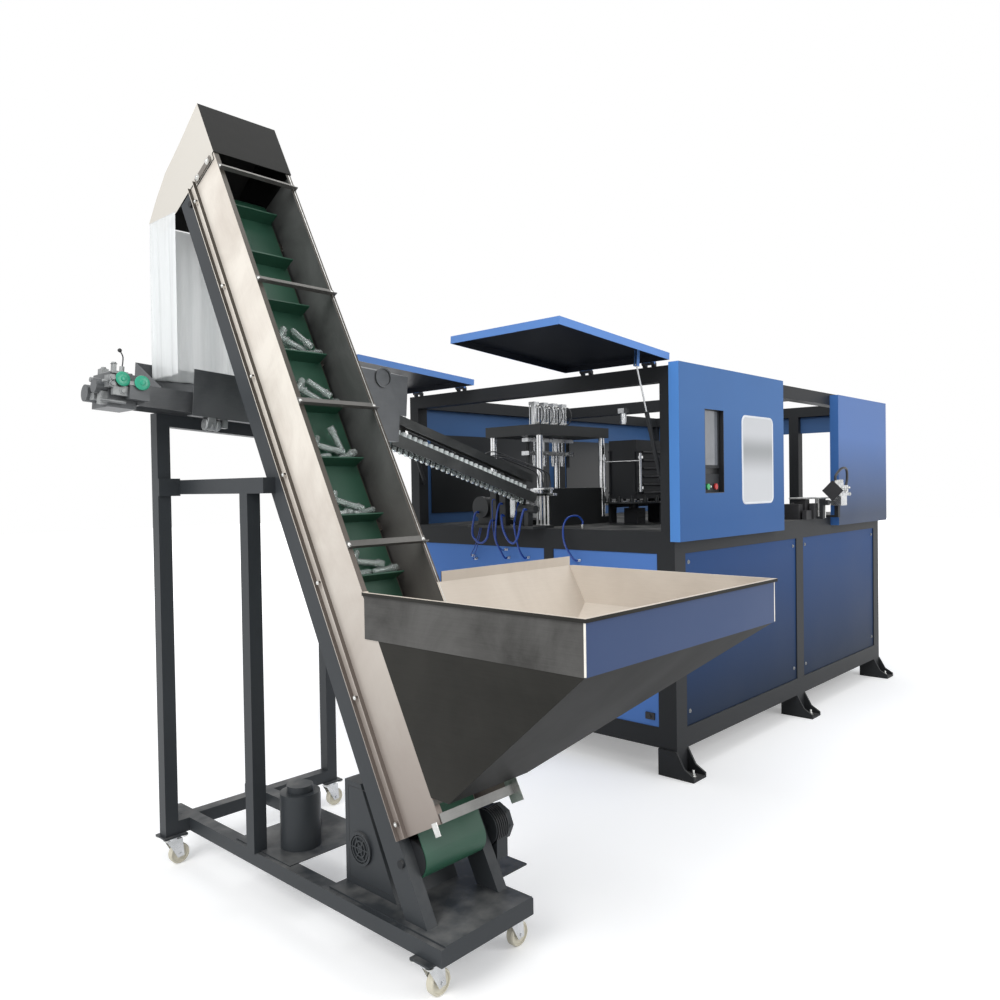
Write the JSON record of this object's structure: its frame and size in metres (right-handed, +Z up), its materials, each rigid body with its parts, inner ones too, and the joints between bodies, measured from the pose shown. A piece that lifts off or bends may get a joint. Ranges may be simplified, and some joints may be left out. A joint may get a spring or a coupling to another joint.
{
  "type": "blow moulding machine",
  "caption": "Stretch blow moulding machine with a blue covered body, raised end doors, clamping press, heating tunnel, infeed rail, roller unscrambler and inclined hopper elevator.",
  "frame": {"origin": "outer corner of the machine's frame nearest the infeed end and the operator's side, on the floor", "axes": "+X along the operator's side away from the infeed end, +Y across the machine away from the operator, +Z up"},
  "size_m": [5.2274, 2.924, 2.8789],
  "materials": {
    "black_paint": "satin",
    "grey_paint": "satin",
    "charcoal_paint": "satin",
    "blue_paint": "satin",
    "stainless": "brushed",
    "bright_steel": "satin",
    "mould_metal": "machined",
    "window_plastic": "satin",
    "panel_grey": "satin",
    "green_plastic": "gloss",
    "red_plastic": "gloss",
    "belt_green": "matte",
    "clear_pet": "clear",
    "curtain_film": "frosted",
    "hose_blue": "satin",
    "wheel_plastic": "satin"
  },
  "bodies": {
    "machine": {"base_frame": "black_paint", "upper_frame": "black_paint", "feet": "black_paint", "deck": "grey_paint", "lower_panels": "blue_paint", "operator_cover": "blue_paint", "window": "window_plastic", "control_panel": "panel_grey", "outlet_cover": "blue_paint", "rear_covers": "blue_paint", "press_frame": "grey_paint", "stretch_cylinders": "bright_steel", "oven_housing": "black_paint", "spindle_chain": "grey_paint", "infeed_rail": "stainless", "rail_preforms": "clear_pet", "loading_station": "grey_paint", "air_hoses": "hose_blue", "air_filter": "bright_steel", "outlet_base": "black_paint", "elevator_walls": "stainless", "cross_straps": "stainless", "hood": "stainless", "drop_curtain": "curtain_film", "belt": "belt_green", "hopper": "stainless", "gearmotor": "black_paint", "belt_preforms": "clear_pet", "control_box": "grey_paint", "stand_frame": "charcoal_paint", "unscrambler_deck": "stainless", "preform_tray": "stainless"},
    "start_button": {"start_button": "green_plastic"},
    "stop_button": {"stop_button": "red_plastic"},
    "door_1": {"door_1": "blue_paint"},
    "door_2": {"door_2": "blue_paint"},
    "strut_body_1": {"strut_body_1": "black_paint"},
    "strut_rod_1": {"strut_rod_1": "bright_steel"},
    "strut_body_2": {"strut_body_2": "black_paint"},
    "strut_rod_2": {"strut_rod_2": "bright_steel"},
    "mould_front": {"mould_front": "mould_metal"},
    "mould_rear": {"mould_rear": "mould_metal"},
    "stretch_bar": {"stretch_bar": "bright_steel", "stretch_rods": "bright_steel"},
    "nozzle_bar": {"nozzle_bar": "mould_metal"},
    "sprocket_1": {"sprocket_1": "bright_steel"},
    "sprocket_2": {"sprocket_2": "bright_steel"},
    "outlet_arm": {"outlet_arm": "mould_metal"},
    "head_drum": {"head_drum": "grey_paint"},
    "tail_drum": {"tail_drum": "grey_paint"},
    "roller_1": {"roller_1": "stainless"},
    "roller_2": {"roller_2": "stainless"},
    "fork_1": {"fork_1": "bright_steel"},
    "wheel_1": {"wheel_1": "wheel_plastic"},
    "fork_2": {"fork_2": "bright_steel"},
    "wheel_2": {"wheel_2": "wheel_plastic"},
    "fork_3": {"fork_3": "bright_steel"},
    "wheel_3": {"wheel_3": "wheel_plastic"},
    "fork_4": {"fork_4": "bright_steel"},
    "wheel_4": {"wheel_4": "wheel_plastic"}
  },
  "joints": [
    {"name": "start_button_press", "type": "slide", "parent": "machine", "child": "start_button", "axis": [0, 1, 0], "range_m": [0, 0.004], "stiffness_N_per_m": 300, "springref_m": -0.002},
    {"name": "stop_button_press", "type": "slide", "parent": "machine", "child": "stop_button", "axis": [0, 1, 0], "range_m": [0, 0.004], "stiffness_N_per_m": 300, "springref_m": -0.002},
    {"name": "door_1_hinge", "type": "hinge", "parent": "machine", "child": "door_1", "pos_m": [-0.008, 0.32, 2.019], "axis": [0, 1, 0], "range_deg": [-94, 0]},
    {"name": "strut_body_1_pivot", "type": "hinge", "parent": "machine", "child": "strut_body_1", "pos_m": [0.03, 0.092, 1.457], "axis": [0, 1, 0], "range_deg": [0, 20.43]},
    {"name": "strut_rod_1_slide", "type": "slide", "parent": "strut_body_1", "child": "strut_rod_1", "axis": [-0.352, 0, 0.936], "range_m": [-0.1743, 0]},
    {"name": "door_2_hinge", "type": "hinge", "parent": "machine", "child": "door_2", "pos_m": [-0.008, 1.625, 2.019], "axis": [0, 1, 0], "range_deg": [-94, 0]},
    {"name": "strut_body_2_pivot", "type": "hinge", "parent": "machine", "child": "strut_body_2", "pos_m": [0.03, 1.808, 1.457], "axis": [0, 1, 0], "range_deg": [0, 20.43]},
    {"name": "strut_rod_2_slide", "type": "slide", "parent": "strut_body_2", "child": "strut_rod_2", "axis": [-0.352, 0, 0.936], "range_m": [-0.1743, 0]},
    {"name": "mould_front_slide", "type": "slide", "parent": "machine", "child": "mould_front", "axis": [0, 1, 0], "range_m": [0, 0.0598]},
    {"name": "mould_rear_slide", "type": "slide", "parent": "machine", "child": "mould_rear", "axis": [0, 1, 0], "range_m": [-0.0598, 0]},
    {"name": "stretch_slide", "type": "slide", "parent": "machine", "child": "stretch_bar", "axis": [0, 0, 1], "range_m": [-0.05, 0]},
    {"name": "nozzle_slide", "type": "slide", "parent": "machine", "child": "nozzle_bar", "axis": [0, 0, 1], "range_m": [-0.04, 0]},
    {"name": "sprocket_1_turn", "type": "hinge", "parent": "machine", "child": "sprocket_1", "pos_m": [0.66, 0.66, 1.322], "axis": [0, 0, 1], "continuous": true},
    {"name": "sprocket_2_turn", "type": "hinge", "parent": "machine", "child": "sprocket_2", "pos_m": [1.7, 0.66, 1.322], "axis": [0, 0, 1], "continuous": true},
    {"name": "outlet_slide", "type": "slide", "parent": "machine", "child": "outlet_arm", "axis": [1, 0, 0], "range_m": [-0.1, 0]},
    {"name": "tail_drum_turn", "type": "hinge", "parent": "machine", "child": "tail_drum", "pos_m": [-1.788, -0.25135, 0.33734], "axis": [1, 0, 0], "continuous": true},
    {"name": "head_drum_turn", "type": "hinge", "parent": "machine", "child": "head_drum", "pos_m": [-1.788, 0.9059, 2.51381], "axis": [1, 0, 0], "continuous": true},
    {"name": "roller_1_turn", "type": "hinge", "parent": "machine", "child": "roller_1", "pos_m": [-1.6264, 0.864, 1.73489], "axis": [0.9976, 0, -0.0698], "continuous": true},
    {"name": "roller_2_turn", "type": "hinge", "parent": "machine", "child": "roller_2", "pos_m": [-1.6264, 0.936, 1.73489], "axis": [0.9976, 0, -0.0698], "continuous": true},
    {"name": "fork_1_swivel", "type": "hinge", "parent": "machine", "child": "fork_1", "pos_m": [-2.05, 0.985, 0.1], "axis": [0, 0, 1], "continuous": true},
    {"name": "wheel_1_roll", "type": "hinge", "parent": "fork_1", "child": "wheel_1", "pos_m": [-2.024, 0.985, 0.038], "axis": [0, 1, 0], "continuous": true},
    {"name": "fork_2_swivel", "type": "hinge", "parent": "machine", "child": "fork_2", "pos_m": [-1.305, 1.01, 0.1], "axis": [0, 0, 1], "continuous": true},
    {"name": "wheel_2_roll", "type": "hinge", "parent": "fork_2", "child": "wheel_2", "pos_m": [-1.279, 1.01, 0.038], "axis": [0, 1, 0], "continuous": true},
    {"name": "fork_3_swivel", "type": "hinge", "parent": "machine", "child": "fork_3", "pos_m": [-1.965, -0.38, 0.1], "axis": [0, 0, 1], "continuous": true},
    {"name": "wheel_3_roll", "type": "hinge", "parent": "fork_3", "child": "wheel_3", "pos_m": [-1.939, -0.38, 0.038], "axis": [0, 1, 0], "continuous": true},
    {"name": "fork_4_swivel", "type": "hinge", "parent": "machine", "child": "fork_4", "pos_m": [-1.63, -0.38, 0.1], "axis": [0, 0, 1], "continuous": true},
    {"name": "wheel_4_roll", "type": "hinge", "parent": "fork_4", "child": "wheel_4", "pos_m": [-1.604, -0.38, 0.038], "axis": [0, 1, 0], "continuous": true}
  ],
  "couplings": [
    {"joint": "strut_body_1_pivot", "follows": "door_1_hinge", "ratio": -0.21623},
    {"joint": "strut_rod_1_slide", "follows": "door_1_hinge", "m_per_rad": 0.10614},
    {"joint": "strut_body_2_pivot", "follows": "door_2_hinge", "ratio": -0.21623},
    {"joint": "strut_rod_2_slide", "follows": "door_2_hinge", "m_per_rad": 0.10614},
    {"joint": "mould_rear_slide", "follows": "mould_front_slide", "ratio": -1},
    {"joint": "sprocket_2_turn", "follows": "sprocket_1_turn", "ratio": 1},
    {"joint": "head_drum_turn", "follows": "tail_drum_turn", "ratio": 1},
    {"joint": "roller_2_turn", "follows": "roller_1_turn", "ratio": -1}
  ]
}
